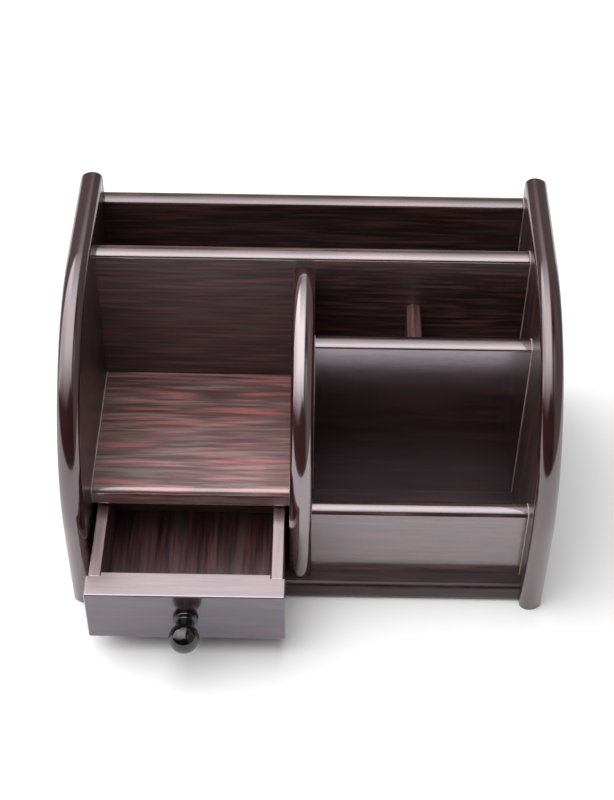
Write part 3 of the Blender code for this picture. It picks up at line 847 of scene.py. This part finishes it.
def board(node, bm, body, grain, holes=(), is_face=None):
    """One finished board, with its own stretch of the grain and its dowel and screw holes.

    Its flat faces are those that is_face picks by their normal, or else those through the grain.
    """
    obj = piece_from(node + "_finished", bm)
    for cutter in holes:
        drill(obj, cutter)
    mark_grain(obj.data, grain, GRAIN_STEP * next(board_numbers))
    edge, face, tone, figure = LOOKS[node]
    mark_look(obj.data, tone=tone, figure=figure)
    finish_piece(obj, node, body, WOODS[edge], WOODS[face])
    is_face = is_face or flat_on(grain[-1])
    for polygon in obj.data.polygons:
        polygon.material_index = int(is_face(polygon.normal))


def seams(node, low, high, section, sides):
    """Pale filler lines, partly painted highlight, round a board's ends; section shapes each in a
    box.
    """
    grown = FILLER_AND_HIGHLIGHT_WIDTH / 2
    front = low.y - grown
    back = min(high.y + grown, cad_box[1][1])
    for side in sides:
        start = low.x if side == "left" else high.x - JOINT_REACH - FILLER_AND_HIGHLIGHT_WIDTH
        end = start + JOINT_REACH + FILLER_AND_HIGHLIGHT_WIDTH
        bm = section(Vector((start, front, low.z - grown)), Vector((end, back, high.z + grown)))
        obj = piece_from(f"{node}_{side}_seam", bm)
        dress(obj, FILLER_AND_HIGHLIGHT)
        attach(obj, "stand")


# Carcass: the side panels and the divider
SIDE_PANELS = {
    "left_side_panel": (-CROWN_LEAN, ("left_base", "left_shelf", "left_back", "left_letter")),
    "right_side_panel": (
        CROWN_LEAN,
        ("right_base", "right_back", "right_letter", "right_pen", "right_card"),
    ),
}
for node, (lean, joints) in SIDE_PANELS.items():
    bm = curved_board(*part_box(node), SIDE_RADIUS, SIDE_CROWN, lean)
    board(node, bm, "stand", SIDE_GRAIN, dowel_holes(*joints))

bm = curved_board(*joined_box("middle_divider", ALONG_Y, -ALONG_Z), DIVIDER_RADIUS, SIDE_CROWN)
joints = ("divider_shelf", "divider_pen", "divider_card", "divider_foot")
board("middle_divider", bm, "stand", SIDE_GRAIN, dowel_holes(*joints))

# Carcass: each lying board's joints, the sides with its face finish, and the ends with a seam
LYING_BOARDS = {
    "base_board": (("left_base", "right_base", "divider_foot"), (ALONG_Z,), ()),
    "drawer_shelf": (("left_shelf", "divider_shelf"), (ALONG_Z, ALONG_Y), ("left", "right")),
}
for node, (joints, face_sides, seam_sides) in LYING_BOARDS.items():
    low, high = joined_box(node, ALONG_X, -ALONG_X)
    board(node, lying_board(low, high), "stand", LYING_GRAIN, dowel_holes(*joints),
          flat_on(*face_sides))
    seams(node, low, high, lying_board, seam_sides)

# Carcass: each upright panel's top and its depth, its joints, and the ends with a seam
PANELS = {
    "back_panel": (full_crown, PANEL_CROWN, ("left_back", "right_back"), ("right",)),
    "letter_panel": (full_crown, PANEL_CROWN, ("left_letter", "right_letter"), ("right",)),
    "pen_front_panel": (full_crown, PANEL_CROWN, ("divider_pen", "right_pen"), ("left", "right")),
    "card_front_panel": (crown, CARD_CROWN, ("divider_card", "right_card"), ("right",)),
}
for node, (top_shape, crown_depth, joints, seam_sides) in PANELS.items():
    section = partial(upright_panel, top_shape=top_shape, crown_depth=crown_depth)
    low, high = joined_box(node, ALONG_X, -ALONG_X, -ALONG_Z)
    board(node, section(low, high), "stand", PANEL_GRAIN, dowel_holes(*joints))
    seams(node, low, high, section, seam_sides)

low, high = joined_box("pen_divider", ALONG_Y, -ALONG_Y, -ALONG_Z)
bm = upright_panel(low, high, crown, PEN_DIVIDER_CROWN, along="y")
board("pen_divider", bm, "stand", WALL_GRAIN)

# Drawer: the two fronts, which the knob's screw goes through
front_low, front_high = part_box("drawer_front")
_, inner_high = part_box("drawer_inner_front")
screw_x = (front_low.x + front_high.x) / 2
screw_z = (front_low.z + front_high.z) / 2
screw_hole = peg(
    Vector((screw_x - SCREW_HOLE_RADIUS, front_low.y - SCREW_HOLE_OVERRUN,
            screw_z - SCREW_HOLE_RADIUS)),
    Vector((screw_x + SCREW_HOLE_RADIUS, inner_high.y + SCREW_HOLE_OVERRUN,
            screw_z + SCREW_HOLE_RADIUS)),
    ALONG_Y,
)
bm = box(front_low, front_high, FRONT_ROUNDING, front_high.y)
board("drawer_front", bm, "drawer", PANEL_GRAIN, [screw_hole], below_top)
low, high = joined_box("drawer_inner_front", ALONG_X, -ALONG_X, -ALONG_Y)
bm = box(low, high, BOX_ROUNDING, low.y)
board("drawer_inner_front", bm, "drawer", PANEL_GRAIN, [screw_hole])

# Drawer: the back, the bottom and the walls
bm = box(*joined_box("drawer_back", ALONG_X, -ALONG_X), BOX_ROUNDING)
board("drawer_back", bm, "drawer", PANEL_GRAIN)
bm = box(*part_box("drawer_bottom"), END_ROUNDING)
board("drawer_bottom", bm, "drawer", BOTTOM_GRAIN)
for node, inner_side in (("drawer_left_side", 1), ("drawer_right_side", -1)):
    bm = drawer_wall(*joined_box(node, -ALONG_Y), inner_side)
    board(node, bm, "drawer", WALL_GRAIN)

# Drawer: the knob
low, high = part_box("knob")
bm = turned(knob_profile(), (low.x + high.x) / 2, (low.z + high.z) / 2, high.y)
finish_piece(piece_from("knob_turned", bm), "knob", "drawer", PLAIN_MATERIALS["knob_black"])

# The CAD solids that stay get their finish
for node, obj in frame["nodes"].items():
    if SLOTS[node] in PLAIN_MATERIALS:
        obj.data.materials.clear()
        obj.data.materials.append(PLAIN_MATERIALS[SLOTS[node]])


# Studio
def lay_floor():
    """A plain pale floor just under the stand."""
    mesh = bpy.data.meshes.new("floor")
    corners = [(x * FLOOR_REACH, y * FLOOR_REACH, 0) for x, y in ((-1, -1), (1, -1), (1, 1), (-1, 1))]
    mesh.from_pydata(corners, [], [(0, 1, 2, 3)])
    floor = bpy.data.objects.new("floor", mesh)
    bpy.context.scene.collection.objects.link(floor)
    floor.location.z = cad_box[0][2] - FLOOR_GAP
    material = bpy.data.materials.new("floor_paper")
    graph = Graph(material)
    paper = graph.add("BsdfPrincipled", Base_Color=FLOOR_COLOUR, Roughness=FLOOR_ROUGHNESS,
                      Specular_IOR_Level=0.0)
    graph.show(paper)
    mesh.materials.append(material)


def light_studio():
    """A large softbox overhead and to the left, a dimmer strip beside it, and a dim room around.

    The light depends on the direction's sideways part and on its turn round the x axis, from the
    back horizon over the top to the front. The camera itself sees plain white.
    """
    world = bpy.data.worlds.new("studio")
    bpy.context.scene.world = world
    graph = Graph(world)
    direction = graph.add("TexCoord").outputs["Generated"]
    x, y, z = graph.add("SeparateXYZ", Vector=direction).outputs
    turn = graph.math("MULTIPLY", graph.math("ARCTAN2", z, y), 180 / pi)

    # The softbox: dimmer at the back except on the left, and at the far left
    slope = graph.math("SUBTRACT", turn, KEY_SLOPE_START)
    slope = graph.math("DIVIDE", slope, KEY_SLOPE_LENGTH, clamp=True)
    slope = graph.math("MAXIMUM", slope, graph.fall(x, *KEY_FLAT_X))
    key = graph.math("MULTIPLY_ADD", slope, 1 - KEY_BACK_SHARE, KEY_BACK_SHARE)
    key = graph.math("MULTIPLY", key, graph.ramp(turn, *KEY_BACK_TURN))
    key = graph.math("MULTIPLY", key, graph.fall(x, *KEY_RIGHT_X))
    left = graph.ramp(x, *KEY_LEFT_X)
    left = graph.math("MULTIPLY_ADD", left, 1 - KEY_LEFT_SHARE, KEY_LEFT_SHARE)
    key = graph.math("MULTIPLY", key, left)

    # The strip beside it, and the notched end that both have in front
    strip = graph.math("MULTIPLY", graph.ramp(x, *STRIP_LEFT_X), graph.fall(x, *STRIP_RIGHT_X))
    strip = graph.math("MULTIPLY", strip, graph.ramp(turn, *STRIP_TURN))
    key = graph.math("MULTIPLY_ADD", strip, STRIP_SHARE, key)
    off_middle = graph.math("ABSOLUTE", graph.math("SUBTRACT", x, NOTCH_X))
    notched = graph.math("MULTIPLY_ADD", off_middle, -NOTCH_SLOPE, turn)
    key = graph.math("MULTIPLY", key, graph.fall(notched, *KEY_END_TURN))
    key = graph.math("MULTIPLY", key, graph.fall(turn, *KEY_FADE_TURN))

    # The dim room, behind, in front and at the right
    front = graph.ramp(turn, *FRONT_TURN)
    back = graph.math("MULTIPLY", graph.math("SUBTRACT", 1.0, front), BACK_RADIANCE)
    light = graph.math("MULTIPLY_ADD", front, FRONT_RADIANCE, back)
    light = graph.math("MULTIPLY_ADD", key, KEY_RADIANCE, light)
    right = graph.math("MULTIPLY", graph.ramp(x, *RIGHT_X), graph.ramp(turn, *RIGHT_TURN))
    light = graph.math("MULTIPLY_ADD", right, RIGHT_RADIANCE, light)

    seen = graph.add("LightPath").outputs["Is Camera Ray"]
    unseen = graph.math("SUBTRACT", 1.0, seen)
    strength = graph.math("ADD", graph.math("MULTIPLY", light, unseen), seen)
    graph.show(graph.add("Background", Color=(1.0, 1.0, 1.0), Strength=strength), "OutputWorld")


def place_camera():
    """The camera as fitted to the photo: place, pitch down, yaw, roll and lens."""
    pitch, yaw, roll = CAMERA_PITCH, CAMERA_YAW, CAMERA_ROLL
    forward = Vector((sin(yaw) * cos(pitch), cos(yaw) * cos(pitch), -sin(pitch)))
    right = Vector((cos(yaw), -sin(yaw), 0))
    up = right.cross(forward)
    rolled_right = right * cos(roll) + up * sin(roll)
    rolled_up = up * cos(roll) - right * sin(roll)
    camera_data = bpy.data.cameras.new("camera")
    camera_data.lens = CAMERA_LENS
    camera_data.clip_start = CAMERA_CLIP
    camera = bpy.data.objects.new("camera", camera_data)
    bpy.context.scene.collection.objects.link(camera)
    turn = Matrix((rolled_right, rolled_up, -forward)).transposed().to_4x4()
    camera.matrix_world = Matrix.Translation(CAMERA_PLACE) @ turn
    bpy.context.scene.camera = camera


lay_floor()
light_studio()
place_camera()
bpy.context.scene.view_settings.view_transform = "Standard"
